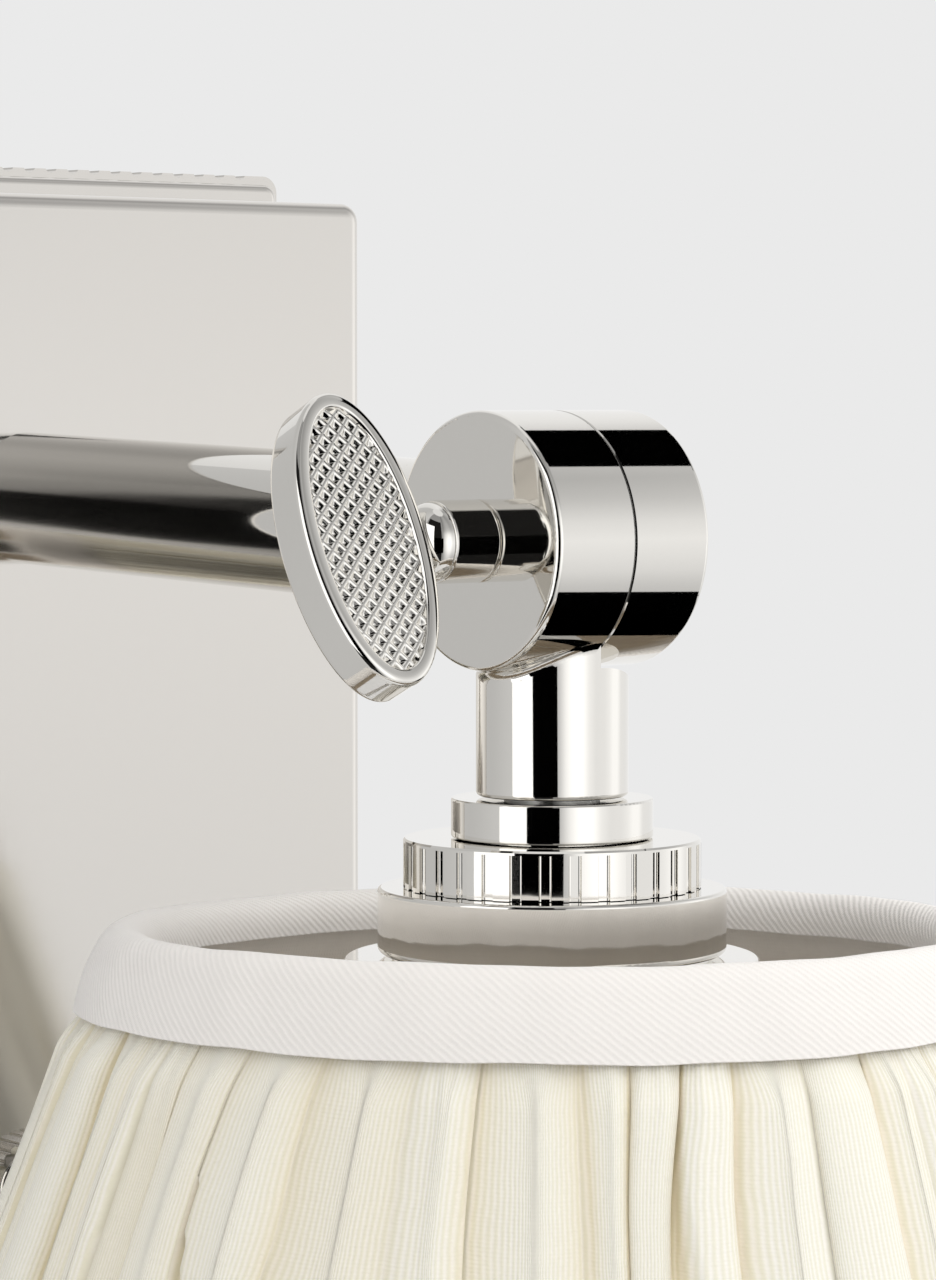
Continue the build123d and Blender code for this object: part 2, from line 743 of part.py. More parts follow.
strut_from = top_wire_z - ring_wire_r - 0.4
strut_to = end_wire_z + ring_wire_r + 0.4
strut_rise = strut_from - strut_to
with BuildPart() as frame_struts:
    for number in range(strut_count):
        turn = radians(30 + 360 / strut_count * number)
        foot = cover_radius(strut_from) - wire_offset
        strut_dir = (shade_slope * cos(turn), shade_slope * sin(turn), -1)
        strut_origin = (foot * cos(turn), joint_y + foot * sin(turn), arm_z + strut_from)
        with BuildSketch(Plane(origin=strut_origin, z_dir=strut_dir)):
            Circle(strut_r)
        extrude(amount=strut_rise * (1 + shade_slope**2) ** 0.5)
save(frame_struts.part, "frame_struts")


# ================================================================= shade fabric
def cone_band(outer_offset, thick, high, low):
    """Outline of a band parallel to the shade's side, for revolving."""
    return (
        (cover_radius(high) - outer_offset - thick, high),
        (cover_radius(high) - outer_offset, high),
        (cover_radius(low) - outer_offset, low),
        (cover_radius(low) - outer_offset - thick, low),
    )


with BuildPart() as shade_cover:
    with BuildSketch(head_section):
        with BuildLine():
            Polyline(*cone_band(0, cover_thick, shade_top - tape_thick, shade_end + tape_thick), close=True)
        make_face()
    revolve(axis=head_axis)
save(shade_cover.part, "shade_cover")

with BuildPart() as shade_lining:
    with BuildSketch(head_section):
        with BuildLine():
            lining_band = cone_band(
                lining_offset, lining_thick, shade_top - tape_thick, shade_end + tape_thick
            )
            Polyline(*lining_band, close=True)
        make_face()
    revolve(axis=head_axis)
    for turn in spoke_turns:
        with BuildSketch(spoke_plane(turn)):
            Circle(spoke_r + 0.3)
        extrude(amount=spoke_end - spoke_start + 3, mode=Mode.SUBTRACT)
save(shade_lining.part, "shade_lining")


def tape_outline(edge, inward):
    """Outline of a tape folded over the shade's edge; inward is -1 at the top, 1 at the foot."""
    fold = edge + inward * tape_thick
    outer_low = edge + inward * tape_height
    inner_low = edge + inward * (tape_height - 2)
    inside = lining_offset + lining_thick
    return (
        (cover_radius(edge) + tape_thick, edge),
        (cover_radius(outer_low) + tape_thick, outer_low),
        (cover_radius(outer_low), outer_low),
        (cover_radius(fold), fold),
        (cover_radius(fold) - inside, fold),
        (cover_radius(inner_low) - inside, inner_low),
        (cover_radius(inner_low) - inside - tape_thick, inner_low),
        (cover_radius(edge) - inside - tape_thick, edge),
    )


with BuildPart() as top_tape:
    with BuildSketch(head_section):
        with BuildLine():
            Polyline(*tape_outline(shade_top, -1), close=True)
        make_face()
    revolve(axis=head_axis)
save(top_tape.part, "top_tape")

with BuildPart() as end_tape:
    with BuildSketch(head_section):
        with BuildLine():
            Polyline(*tape_outline(shade_end, 1), close=True)
        make_face()
    revolve(axis=head_axis)
save(end_tape.part, "end_tape")

# ================================================================= switch
switch_depth = 12.0
bushing_len = 5.5
shaft_r = 3.0
with BuildPart() as switch_body:
    with BuildSketch(facing(inner_y + switch_depth, switch_z)):
        RectangleRounded(22, 20, 2)
    extrude(amount=switch_depth)
    with BuildSketch(facing(inner_y, switch_z)):
        Circle(nipple_r)
    extrude(amount=bushing_len)
    with BuildSketch(facing(inner_y - bushing_len, switch_z)):
        Circle(shaft_r + running)
    extrude(amount=-(bushing_len + 8), mode=Mode.SUBTRACT)
save(switch_body.part, "switch_body")

with BuildPart() as switch_nut:
    with BuildSketch(facing(front_y, switch_z)):
        Circle(7.2)
        with PolarLocations(7.2, 30):
            Circle(0.35, mode=Mode.SUBTRACT)
        Circle(nipple_r + 0.02, mode=Mode.SUBTRACT)
    extrude(amount=2.2)
save(switch_nut.part, "switch_nut")

knob_start = front_y - 4.2
knob_length = 10.0
with BuildPart() as switch_shaft:
    with BuildSketch(facing(inner_y + 7.5, switch_z)):
        Circle(shaft_r)
    extrude(amount=inner_y + 7.5 - knob_start + 6)
save(switch_shaft.part, "switch_shaft")

with BuildPart() as switch_knob:
    with BuildSketch(facing(knob_start, switch_z)):
        Circle(knob_r)
    extrude(amount=knob_length)
    fillet(switch_knob.edges().sort_by(Axis.Y)[0], 1.4)
    fillet(switch_knob.edges().sort_by(Axis.Y)[-1], 0.5)
    with BuildSketch(facing(knob_start, switch_z)):
        Circle(shaft_r + 0.01)
    extrude(amount=6.1, mode=Mode.SUBTRACT)
save(switch_knob.part, "switch_knob")
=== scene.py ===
"""Looks for the pharmacy wall lamp: polished nickel, a gathered fabric shade and a plain studio."""
import json
import math
from types import SimpleNamespace

import bmesh
import bpy
import numpy as np
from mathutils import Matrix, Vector


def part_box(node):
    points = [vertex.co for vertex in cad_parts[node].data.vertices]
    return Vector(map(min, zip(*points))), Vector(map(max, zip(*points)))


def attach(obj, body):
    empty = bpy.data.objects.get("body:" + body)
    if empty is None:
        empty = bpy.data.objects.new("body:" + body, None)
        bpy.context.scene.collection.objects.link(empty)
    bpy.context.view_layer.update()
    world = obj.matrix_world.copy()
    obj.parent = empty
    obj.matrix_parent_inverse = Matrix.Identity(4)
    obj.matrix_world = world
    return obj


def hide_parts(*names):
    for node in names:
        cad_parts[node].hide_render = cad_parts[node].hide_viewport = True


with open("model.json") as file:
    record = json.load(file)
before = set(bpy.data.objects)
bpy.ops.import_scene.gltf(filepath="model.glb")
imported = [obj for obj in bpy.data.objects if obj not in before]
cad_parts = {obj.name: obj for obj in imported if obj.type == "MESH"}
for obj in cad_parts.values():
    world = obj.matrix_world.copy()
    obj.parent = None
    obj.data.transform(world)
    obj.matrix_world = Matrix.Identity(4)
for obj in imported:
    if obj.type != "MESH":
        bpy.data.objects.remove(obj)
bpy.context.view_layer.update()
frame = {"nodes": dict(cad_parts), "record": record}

MM = 0.001
joint = Vector(next(j["pos_m"] for j in frame["record"]["behaviour"]["joints"] if j["name"] == "head_tilt"))


def size_mm(node):
    """A node's extents, in millimetres."""
    low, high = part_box(node)
    return [(high[i] - low[i]) / MM for i in range(3)]


def height_mm(node):
    """A node's lowest and highest points measured from the joint axis, in millimetres."""
    low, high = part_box(node)
    return (low[2] - joint[2]) / MM, (high[2] - joint[2]) / MM


# ------------------------------------------------------------------ mesh helpers
def mesh_object(name, points, faces, smooth=True, uv=None):
    """An object from points in metres and a list of faces; uv holds one pair for each point."""
    mesh = bpy.data.meshes.new(name)
    mesh.from_pydata([tuple(p) for p in points], [], [tuple(f) for f in faces])
    mesh.validate()
    if smooth:
        mesh.shade_smooth()
    if uv is not None:
        layer = mesh.uv_layers.new(name="cloth")
        index = np.empty(len(mesh.loops), dtype=np.int64)
        mesh.loops.foreach_get("vertex_index", index)
        layer.data.foreach_set("uv", np.asarray(uv, dtype=np.float32)[index].ravel())
    thing = bpy.data.objects.new(name, mesh)
    bpy.context.scene.collection.objects.link(thing)
    return thing


def grid_faces(rows, columns, closed_round=False, closed_rows=False):
    """Quads of a grid of points stored row by row."""
    faces = []
    for r in range(rows if closed_rows else rows - 1):
        for c in range(columns if closed_round else columns - 1):
            r2, c2 = (r + 1) % rows, (c + 1) % columns
            faces.append((r * columns + c, r * columns + c2, r2 * columns + c2, r2 * columns + c))
    return faces


def add_attribute(thing, name, values):
    """A number for each point, for a material to read."""
    layer = thing.data.attributes.new(name, "FLOAT", "POINT")
    layer.data.foreach_set("value", np.asarray(values, dtype=np.float32))


def smooth_step(low, high, x):
    """Nought below low, one above high and a smooth rise between."""
    t = np.clip((x - low) / (high - low), 0, 1)
    return t * t * (3 - 2 * t)


# ------------------------------------------------------------------ materials
def new_material(name, **sockets):
    """A Principled material with its constant values on the shader's own sockets."""
    material = bpy.data.materials.new(name)
    material.use_nodes = True
    shader = material.node_tree.nodes["Principled BSDF"]
    for key, value in sockets.items():
        shader.inputs[key.replace("_", " ")].default_value = value
    return material, material.node_tree, shader


def node(tree, kind, **values):
    """A shader node with properties, or input values given by name."""
    made = tree.nodes.new(kind)
    for key, value in values.items():
        if key in made.inputs:
            made.inputs[key].default_value = value
        else:
            setattr(made, key, value)
    return made


def math_node(tree, operation, a, b=None):
    """The result of a sum on two values, each a number or another node's output."""
    made = tree.nodes.new("ShaderNodeMath")
    made.operation = operation
    for socket, value in zip(made.inputs, (a, b)):
        if value is None:
            continue
        if isinstance(value, (int, float)):
            socket.default_value = value
        else:
            tree.links.new(value, socket)
    return made.outputs[0]


def noise_of(tree, scale, detail, vector=None):
    """Noise over the object's own coordinates, or over another vector."""
    made = node(tree, "ShaderNodeTexNoise")
    made.inputs["Scale"].default_value = scale
    made.inputs["Detail"].default_value = detail
    if vector is None:
        vector = node(tree, "ShaderNodeTexCoord").outputs["Object"]
    tree.links.new(vector, made.inputs["Vector"])
    return made.outputs["Fac"]


def remap(tree, value, low, high):
    """A value from 0 to 1 spread over low to high."""
    made = tree.nodes.new("ShaderNodeMapRange")
    made.inputs["To Min"].default_value = low
    made.inputs["To Max"].default_value = high
    tree.links.new(value, made.inputs["Value"])
    return made.outputs["Result"]


def mix_colour(tree, factor, first, second):
    """The first colour where the factor is 0 and the second where it is 1."""
    made = tree.nodes.new("ShaderNodeMix")
    made.data_type = "RGBA"
    made.inputs["A"].default_value = (*first, 1)
    made.inputs["B"].default_value = (*second, 1)
    tree.links.new(factor, made.inputs["Factor"])
    return made.outputs["Result"]


def add_bump(tree, shader, height, distance, strength):
    """Small relief in the shading; distance is its height in metres."""
    bump = node(tree, "ShaderNodeBump")
    bump.inputs["Strength"].default_value = strength
    bump.inputs["Distance"].default_value = distance
    tree.links.new(height, bump.inputs["Height"])
    tree.links.new(bump.outputs["Normal"], shader.inputs["Normal"])


def polished_metal(name, colour, rough, spread):
    """Polished plated metal with faint cloudy wear in its roughness."""
    material, tree, shader = new_material(name, Metallic=1.0, Roughness=rough)
    cloud = noise_of(tree, 90, 4)
    fine = noise_of(tree, 900, 2)
    tree.links.new(remap(tree, cloud, rough - spread, rough + spread), shader.inputs["Roughness"])
    darker = tuple(c * 0.985 for c in colour)
    tree.links.new(mix_colour(tree, fine, colour, darker), shader.inputs["Base Color"])
    return material


def plain_metal(name, colour, rough):
    """Turned or pressed metal with a fine grain."""
    material, tree, shader = new_material(name, Metallic=1.0, Roughness=rough)
    grain = noise_of(tree, 1500, 3)
    tree.links.new(remap(tree, grain, rough - 0.06, rough + 0.08), shader.inputs["Roughness"])
    darker = tuple(c * 0.93 for c in colour)
    tree.links.new(mix_colour(tree, grain, colour, darker), shader.inputs["Base Color"])
    add_bump(tree, shader, grain, 0.00001, 0.5)
    return material


def moulded(name, colour, rough):
    """Moulded plastic or enamel with a faint surface texture."""
    material, tree, shader = new_material(name, Roughness=rough)
    grain = noise_of(tree, 1200, 2)
    darker = tuple(c * 0.9 for c in colour)
    tree.links.new(mix_colour(tree, grain, colour, darker), shader.inputs["Base Color"])
    tree.links.new(remap(tree, grain, rough - 0.04, rough + 0.06), shader.inputs["Roughness"])
    add_bump(tree, shader, grain, 0.00002, 0.5)
    return material


def cloth_uv(tree):
    """The cloth's own two directions in millimetres, as separate values."""
    uv = node(tree, "ShaderNodeUVMap")
    uv.uv_map = "cloth"
    split = tree.nodes.new("ShaderNodeSeparateXYZ")
    tree.links.new(uv.outputs["UV"], split.inputs[0])
    return split.outputs["X"], split.outputs["Y"], uv.outputs["UV"]


def half_wave(tree, value, pitch):
    """Smooth ridges from 0 to 1, one for each pitch of the value."""
    turn = math_node(tree, "MULTIPLY", value, 2 * math.pi / pitch)
    raised = math_node(tree, "ADD", math_node(tree, "SINE", turn), 1.0)
    return math_node(tree, "MULTIPLY", raised, 0.5)


def ribbed_cotton(name):
    """Cream cotton with fine ribs along the folds; painted shade makes it warmer and darker in the creases
    and in the rib troughs.
    """
    material, tree, shader = new_material(name, Roughness=0.92)
    shader.inputs["Sheen Weight"].default_value = 0.25
    shader.inputs["Sheen Roughness"].default_value = 0.5
    shader.inputs["Specular IOR Level"].default_value = 0.2
    across, along, uv = cloth_uv(tree)
    wander = math_node(tree, "MULTIPLY", noise_of(tree, 0.12, 2, uv), 0.8)
    ribs = half_wave(tree, math_node(tree, "ADD", across, wander), 0.62)
    picks = half_wave(tree, along, 0.42)
    low_ribs = math_node(tree, "MULTIPLY", ribs, 0.8)
    weave = math_node(tree, "ADD", low_ribs, math_node(tree, "MULTIPLY", picks, 0.25))
    slub = noise_of(tree, 1.8, 4, uv)
    height = math_node(tree, "ADD", weave, math_node(tree, "MULTIPLY", slub, 0.7))
    add_bump(tree, shader, height, 0.00009, 0.7)
    # Painted shade: this attribute mixes in the darker, warmer crease colour where the cloth lies deep.
    depth = node(tree, "ShaderNodeAttribute")
    depth.attribute_name = "painted_crease_shade"
    painted_crease_shade = math_node(tree, "POWER", depth.outputs["Fac"], 1.5)
    body = mix_colour(tree, painted_crease_shade, COVER_CREST, COVER_CREASE_PAINTED_SHADE)
    shade = tree.nodes.new("ShaderNodeMix")
    shade.data_type = "RGBA"
    shade.blend_type = "MULTIPLY"
    tree.links.new(body, shade.inputs["A"])
    # Painted shade: the rib troughs are darker and warmer, mixed with the slub's random thread tone.
    rib_shade_and_slub = math_node(tree, "MULTIPLY", ribs, math_node(tree, "ADD", slub, 0.5))
    thread = remap(tree, rib_shade_and_slub, 0.93, 1.02)
    tint = tree.nodes.new("ShaderNodeCombineColor")
    tree.links.new(thread, tint.inputs["Red"])
    tree.links.new(thread, tint.inputs["Green"])
    tree.links.new(math_node(tree, "MULTIPLY", thread, thread), tint.inputs["Blue"])
    tree.links.new(tint.outputs["Color"], shade.inputs["B"])
    shade.inputs["Factor"].default_value = 1.0
    tree.links.new(shade.outputs["Result"], shader.inputs["Base Color"])
    return material


def twill(name, colour):
    """Twill tape: diagonal ribs with a fine thread texture, and painted shade darkening the grooves between
    the ribs.
    """
    pitch, rise = 0.66, 1.25
    material, tree, shader = new_material(name, Roughness=0.95)
    shader.inputs["Sheen Weight"].default_value = 0.3
    shader.inputs["Specular IOR Level"].default_value = 0.15
    across, along, uv = cloth_uv(tree)
    slope = math_node(tree, "ADD", across, math_node(tree, "MULTIPLY", along, rise))
    wander = math_node(tree, "MULTIPLY", noise_of(tree, 0.5, 3, uv), 0.5)
    ribs = half_wave(tree, math_node(tree, "ADD", slope, wander), pitch * math.hypot(1, rise))
    cross = half_wave(tree, math_node(tree, "SUBTRACT", across, along), 0.36)
    fuzz = noise_of(tree, 3.0, 5, uv)
    weave = math_node(tree, "ADD", ribs, math_node(tree, "MULTIPLY", cross, 0.25))
    height = math_node(tree, "ADD", weave, math_node(tree, "MULTIPLY", fuzz, 0.8))
    add_bump(tree, shader, height, 0.00009, 0.6)
    # Painted shade: the colour is darker in the grooves between the ribs.
    groove_painted_shade = math_node(tree, "POWER", remap(tree, ribs, 0.85, 1.0), 2.0)
    groove_shaded_colour = mix_colour(tree, groove_painted_shade, tuple(c * 0.90 for c in colour), colour)
    tree.links.new(groove_shaded_colour, shader.inputs["Base Color"])
    return material


def plain_weave(name, colour, deep_painted_shade):
    """Plain lining cotton, with painted shade that darkens it to tan below the rim."""
    material, tree, shader = new_material(name, Roughness=0.95)
    shader.inputs["Specular IOR Level"].default_value = 0.15
    across, along, uv = cloth_uv(tree)
    weave = math_node(tree, "MULTIPLY", half_wave(tree, across, 0.5), half_wave(tree, along, 0.5))
    fuzz = noise_of(tree, 1.0, 4, uv)
    height = math_node(tree, "ADD", weave, fuzz)
    add_bump(tree, shader, height, 0.00004, 0.5)
    # Painted shade: the colour falls to the darker tan one from 3 to 14 mm down the lining, where less light
    # reaches.
    fall = tree.nodes.new("ShaderNodeMapRange")
    fall.inputs["From Min"].default_value = 3.0
    fall.inputs["From Max"].default_value = 14.0
    tree.links.new(along, fall.inputs["Value"])
    painted_depth_shade = tree.nodes.new("ShaderNodeMix")
    painted_depth_shade.data_type = "RGBA"
    tree.links.new(fall.outputs["Result"], painted_depth_shade.inputs["Factor"])
    for socket, shade in (("A", colour), ("B", deep_painted_shade)):
        darker = tuple(c * 0.93 for c in shade)
        tree.links.new(mix_colour(tree, fuzz, shade, darker), painted_depth_shade.inputs[socket])
    tree.links.new(painted_depth_shade.outputs["Result"], shader.inputs["Base Color"])
    return material


def frosted_glass(name, colour):
    """The bulb's frosted envelope."""
    material, tree, shader = new_material(name, Roughness=0.35, Base_Color=(*colour, 1))
    shader.inputs["Transmission Weight"].default_value = 0.25
    tree.links.new(remap(tree, noise_of(tree, 2500, 2), 0.3, 0.42), shader.inputs["Roughness"])
    return material


# The cover cloth's own colour on the crests, and the darker, warmer painted shade that fills its creases.
COVER_CREST = (0.925, 0.893, 0.805)
COVER_CREASE_PAINTED_SHADE = (0.89, 0.82, 0.67)
nickel = polished_metal("polished_nickel", (0.845, 0.825, 0.785), 0.045, 0.012)
plate_nickel = polished_metal("plate_nickel", (0.755, 0.728, 0.690), 0.11, 0.03)
zinc = plain_metal("zinc_steel", (0.62, 0.62, 0.61), 0.35)
brass = plain_metal("brass", (0.78, 0.60, 0.30), 0.28)
rolled = plain_metal("rolled_aluminium", (0.80, 0.80, 0.80), 0.25)
black_plastic = moulded("black_phenolic", (0.025, 0.024, 0.023), 0.35)
enamel = moulded("white_enamel", (0.86, 0.85, 0.82), 0.3)
cream_cotton = ribbed_cotton("cream_cotton")
tape_cotton = twill("tape_twill", (0.90, 0.865, 0.825))
# The lining's second colour is painted shade, for the darkening deep inside the lampshade.
lining_cotton = plain_weave("lining_cotton", (0.84, 0.80, 0.74), (0.50, 0.42, 0.32))
frosted = frosted_glass("frosted_glass", (0.93, 0.92, 0.89))

SLOT_LOOKS = {
    "polished_nickel": nickel,
    "zinc_steel": zinc,
    "brass": brass,
    "aluminium": rolled,
    "black_plastic": black_plastic,
    "white_enamel": enamel,
    "frosted_glass": frosted,
    "cream_fabric": cream_cotton,
    "white_fabric": lining_cotton,
    "tape_fabric": tape_cotton,
}


def dress_cad_nodes():
    """Every carried-over CAD node gets the look of its record slot."""
    slot_of = {s["node"]: s["material_slot"] for s in frame["record"]["subparts"]}
    for name, slot in slot_of.items():
        thing = frame["nodes"][name]
        look = plate_nickel if name in ("front_box", "rear_plate") else SLOT_LOOKS[slot]
        thing.data.materials.clear()
        thing.data.materials.append(look)


dress_cad_nodes()


# ------------------------------------------------------------------ thumb key
KEY_HALF_X, KEY_HALF_Z = 7.65, 16.0
KEY_THICK = 5.4
KEY_LEAN = math.radians(24.5)
KEY_DROP = 0.3
SHAFT_LONG, SHAFT_R = 5.9, 4.3
DOME_R, DOME_RISE = 4.1, 2.85
# Each family of lattice bars: direction of its normal in degrees, pitch and phase.
LATTICE_BARS = ((43.5, 1.335, 0.70), (-44.8, 1.400, 0.21))
# Half widths of a bar's rounded top and of the wall beside it, as parts of half a pitch.
BAR_TOP, BAR_WALL = 0.36, 0.56
BAR_HIGH, BAR_ROUND = 0.52, 0.10
FLOOR_DEPTH = 0.78
LATTICE_EDGE, LATTICE_STEP = 1.66, 0.085

key_centre_x = (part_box("thumb_key")[0][0] - joint[0]) / MM + KEY_HALF_X
key_root_x = (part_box("thumb_key")[1][0] - joint[0]) / MM
long_way = np.array([0, math.sin(KEY_LEAN), math.cos(KEY_LEAN)])
face_way = np.array([0, -math.cos(KEY_LEAN), math.sin(KEY_LEAN)])


def key_point(x, z, out):
    """A point of the grip in metres: x and z in its oval, out along its face, all in millimetres."""
    x, z, out = np.broadcast_arrays(x, z, out)
    flat = np.stack([key_centre_x + x, 0 * x, 0 * x], -1)
    return np.array(joint) + MM * (flat + (z - KEY_DROP)[..., None] * long_way + out[..., None] * face_way)


def lattice_height(x, z):
    """Crossed bars with rounded tops and four-sided pits between them."""
    heights = []
    for degrees, pitch, phase in LATTICE_BARS:
        slope = math.radians(degrees)
        bend = 0.03 * np.sin(0.9 * z + 1.3 * x)
        across = (x * math.cos(slope) + z * math.sin(slope) + bend) / pitch - phase
        off = np.abs((across + 0.5) % 1 - 0.5) * 2
        crest = BAR_HIGH - BAR_ROUND * (off / BAR_TOP) ** 2
        wall = (BAR_HIGH - BAR_ROUND) * np.clip(1 - (off - BAR_TOP) / BAR_WALL, 0, 1) ** 1.25
        heights.append(np.where(off < BAR_TOP, crest, wall))
    return np.maximum(*heights)


def rim_rings():
    """The grip's polished rim, from the dished floor of one face round the outside to the other's."""
    half = KEY_THICK / 2
    floor = half - FLOOR_DEPTH
    profile = [(2.3, floor), (1.98, floor), (1.80, half - 0.45), (1.68, half - 0.18)]
    profile += [(1.58, half - 0.06), (1.40, half - 0.01), (0.9, half)]
    corner = 0.75
    bends = np.radians((15, 30, 45, 60, 75, 90))
    profile += [(corner * (1 - math.sin(a)), half - corner * (1 - math.cos(a))) for a in bends]
    profile += [(0.0, out) for out in np.linspace(half - 0.95, 0, 6)]
    profile += [(inset, -out) for inset, out in profile[-2::-1]]
    turn = np.linspace(0, 2 * np.pi, 240, endpoint=False)
    return np.stack([
        key_point((KEY_HALF_X - inset) * np.cos(turn), (KEY_HALF_Z - inset) * np.sin(turn), out)
        for inset, out in profile
    ])


def shaft_rings():
    """The key's round shaft and its domed end: distances from the joint's end face, and radii."""
    lathe = [(0, 0.0), (0, 3.95), (0.10, 4.18), (0.32, SHAFT_R), (0.45, SHAFT_R), (0.65, SHAFT_R)]
    lathe += [(SHAFT_LONG - back, SHAFT_R) for back in (0.6, 0.4, 0.2)]
    lathe += [(SHAFT_LONG - 0.06, 4.27), (SHAFT_LONG, 4.18), (SHAFT_LONG, 4.12)]
    for a in np.radians(np.linspace(0, 90, 16)):
        lathe.append((SHAFT_LONG + 0.02 + DOME_RISE * math.sin(a), DOME_R * math.cos(a)))
    around = np.linspace(0, 2 * np.pi, 96, endpoint=False)
    rings = [
        np.stack([np.full(96, key_root_x - out), r * np.cos(around), r * np.sin(around)], -1)
        for out, r in lathe
    ]
    return np.array(joint) + MM * np.stack(rings)


def lattice_quads(within):
    """Corners of the grid's quads whose four points all lie within the oval."""
    rows, columns = within.shape
    for r in range(rows - 1):
        for c in range(columns - 1):
            if within[r:r + 2, c:c + 2].all():
                a = r * columns + c
                yield a, a + 1, a + 1 + columns, a + columns


def key_grip():
    """The oval grip, a polished rim round a dished lattice on both faces, and its domed shaft."""
    points, faces = [], []

    def add(block, new_faces):
        start = sum(len(b) for b in points)
        faces.extend(tuple(start + i for i in f) for f in new_faces)
        points.append(block.reshape(-1, 3))

    rim = rim_rings()
    add(rim, grid_faces(*rim.shape[:2], closed_round=True))
    half_x, half_z = KEY_HALF_X - 1.4, KEY_HALF_Z - 1.4
    across, along = np.meshgrid(*(np.arange(-half, half, LATTICE_STEP) for half in (half_x, half_z)))
    place = (across / (KEY_HALF_X - LATTICE_EDGE)) ** 2 + (along / (KEY_HALF_Z - LATTICE_EDGE)) ** 2
    edge_drop = 0.10 * smooth_step(0.90, 1.0, place)
    lift = KEY_THICK / 2 - FLOOR_DEPTH + lattice_height(across, along) - edge_drop
    quads = list(lattice_quads(place < 1.0))
    add(key_point(across, along, lift), [quad[::-1] for quad in quads])
    add(key_point(across, along, -lift), quads)
    shaft = shaft_rings()
    add(shaft, grid_faces(*shaft.shape[:2], closed_round=True))
    piece = mesh_object("thumb_key_cast", np.concatenate(points), faces)
    tidy_normals(piece)
    sharpen(piece, 40)
    piece.data.materials.append(nickel)
    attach(piece, "key")
    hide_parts("thumb_key")
    return piece


def sharpen(piece, degrees):
    """Edges that turn more than this stay crisp."""
    piece.data.set_sharp_from_angle(angle=math.radians(degrees))


def tidy_normals(piece):
    """Faces of a closed mesh point outwards."""
    work = bmesh.new()
    work.from_mesh(piece.data)
    loose = [v for v in work.verts if not v.link_faces]
    bmesh.ops.delete(work, geom=loose, context="VERTS")
    bmesh.ops.recalc_face_normals(work, faces=work.faces)
    work.to_mesh(piece.data)
    work.free()
    piece.data.shade_smooth()


key_grip()


# ------------------------------------------------------------------ shade fabric
cover_low, cover_high = height_mm("shade_cover")
cover_end_r = size_mm("shade_cover")[0] / 2
tape_high = height_mm("top_tape")[1]
SHADE_SLOPE = 0.407
FOLD_SEED = 21
FOLDS, POINTS_PER_FOLD, COVER_ROWS = 50, 36, 130
FULLNESS = 1.18
CLOTH_TALL = 96.0
LINING_INSET = 3.3
TAPE_HEIGHT, TAPE_THICK = 8.3, 0.45
RIM_SUNK, RIM_SLANT = 1.40, 1.00
VIEWED_SIDE = -128.5
RIM_HIGH_SIDE = math.radians(VIEWED_SIDE)
cover_top_r = cover_end_r - SHADE_SLOPE * (cover_high - cover_low)


def cover_radius(height):
    """Radius of the CAD cover's outside at a height from the joint axis, in millimetres."""
    return cover_top_r + SHADE_SLOPE * (cover_high - height)


def shade_point(radius, angle, height):
    """A point of the shade in metres, from cylindrical millimetres; its rim sits a little low and aslant."""
    sunk = RIM_SUNK - RIM_SLANT * np.cos(angle - RIM_HIGH_SIDE)
    upper = np.clip((height - cover_low) / (cover_high - cover_low), 0, 1)
    return np.stack(
        [
            joint[0] + radius * np.cos(angle) * MM,
            joint[1] + radius * np.sin(angle) * MM,
            joint[2] + (height - sunk * upper) * MM,
        ],
        -1,
    )


def soft_noise(rng, count, knots):
    """A smooth random curve for each of count items, sampled by soft_at."""
    return rng.normal(0, 1, (count, knots))


def soft_at(curves, s):
    """Values of the smooth curves at s from 0 to 1."""
    knots = curves.shape[1]
    place = s * (knots - 1)
    low = min(int(place), knots - 2)
    t = place - low
    t = t * t * (3 - 2 * t)
    return curves[:, low] * (1 - t) + curves[:, low + 1] * t


# The deepest creases: place round the shade from the viewed side, and slant, both in degrees, and how far
# a pocket opens beside each.
MAIN_CREASES = (
    (-61, -1.2, 0.45), (-25, -4.7, 0.0), (-9, 0.3, 0.0), (2.5, 0.2, 0.0), (7.5, -0.2, 0.0),
    (15.2, -3.4, 0.55), (19.9, -1.3, 0.0), (37.8, -1.4, 0.0), (110, 3.0, 0.3), (165, -2.0, 0.0),
    (-120, 2.5, 0.35),
)


def plan_folds(rng):
    """Place, width and character of each fold, with a valley moved to each of the main creases."""
    plan = SimpleNamespace()
    width = rng.uniform(0.45, 1.6, FOLDS)
    wide = rng.random(FOLDS) < 0.16
    width[wide] *= 1.7
    start = np.concatenate([[0], np.cumsum(width)])[:-1] / width.sum()
    plan.drift = soft_noise(rng, FOLDS, 5)
    plan.swell = soft_noise(rng, FOLDS, 5)
    plan.lap = np.where(rng.random(FOLDS) < 0.72, 1.0, -0.7) * rng.uniform(0.5, 1.25, FOLDS)
    plan.plump = rng.uniform(0.65, 1.25, FOLDS)
    plan.pocket = rng.random(FOLDS) < 0.26
    plan.pocket_start = rng.uniform(0.10, 0.34, FOLDS)
    plan.pocket_wide = rng.uniform(0.16, 0.42, FOLDS)
    plan.tuck_phase = rng.uniform(0, 2 * np.pi, FOLDS)
    plan.tuck_count = rng.integers(1, 4, FOLDS)
    plan.valley_depth = rng.uniform(0.30, 1.0, FOLDS)
    degrees, leans, openings = np.array(MAIN_CREASES).T
    wanted = (degrees + VIEWED_SIDE) / 360 % 1
    marked = [int(np.argmin(np.abs((start - turn + 0.5) % 1 - 0.5))) for turn in wanted]
    order = np.argsort(start[marked])
    places = start[marked][order]
    move = (wanted[order] - places + 0.5) % 1 - 0.5
    plan.edges = start + np.interp(start, places, move, period=1.0)
    plan.slants = np.interp(start, places, leans[order] / 360, period=1.0)
    plan.valley_depth[marked] = 1.35
    plan.pocket[marked] = openings > 0
    plan.pocket_start[marked] = 0.0
    plan.pocket_wide[marked] = np.maximum(openings, 0.1)
    return plan


